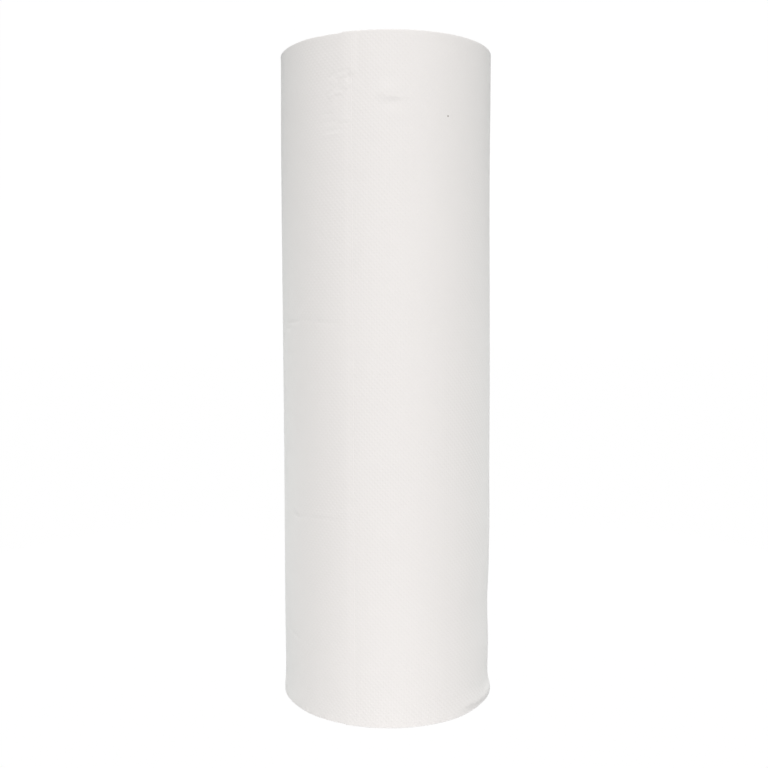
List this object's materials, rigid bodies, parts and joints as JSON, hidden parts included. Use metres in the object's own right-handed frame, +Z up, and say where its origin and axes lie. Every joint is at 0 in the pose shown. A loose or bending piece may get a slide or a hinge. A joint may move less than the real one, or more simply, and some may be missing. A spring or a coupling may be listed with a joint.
{
  "type": "exam table paper roll",
  "caption": "Roll of white embossed tissue paper wound on a cardboard core, to be drawn over an exam table; its free end lies flat on the outside and it stands on one end.",
  "frame": {"origin": "on the roll's axis, in the plane of the end that it stands on", "axes": "+Z up the axis; -Y is the front, the side that shows the free end of the paper; +X is to the right of the front"},
  "size_m": [0.1294, 0.1272, 0.39],
  "materials": {
    "tissue_paper": "soft matt tissue with a fine embossed dot grid",
    "core_board": "plain greyish brown board, matt"
  },
  "bodies": {
    "root": {"paper_roll": "tissue_paper", "cardboard_core": "core_board"}
  },
  "joints": []
}
